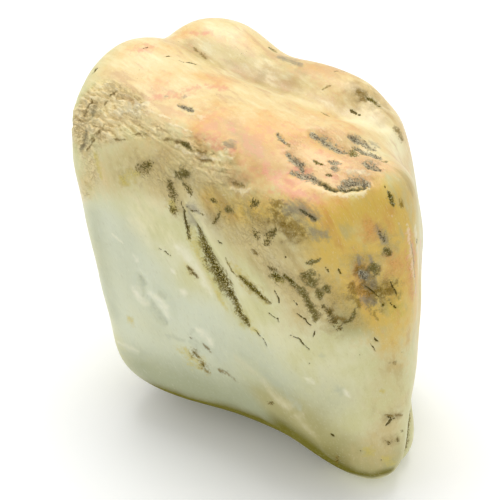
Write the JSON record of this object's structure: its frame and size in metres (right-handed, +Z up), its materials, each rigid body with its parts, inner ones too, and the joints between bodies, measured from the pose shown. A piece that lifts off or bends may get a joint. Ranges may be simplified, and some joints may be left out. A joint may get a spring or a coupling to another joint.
{
  "type": "nephrite pebble",
  "caption": "Palm-sized river-worn block of nephrite jade with one broad polished face, a valley along its top, a rough rind and a flat worn foot to stand on.",
  "frame": {"origin": "on the floor under the middle of the stone", "axes": "+Z up, the broad polished face looks along -Y, +X along that face towards the corner with the orange patch"},
  "size_m": [0.0556, 0.0356, 0.0545],
  "materials": {
    "nephrite": "waxy polish, pale grey-green below and honey to orange above, with dark veins, grey pits and a rough tan rind"
  },
  "bodies": {
    "root": {"pebble": "nephrite"}
  },
  "joints": []
}
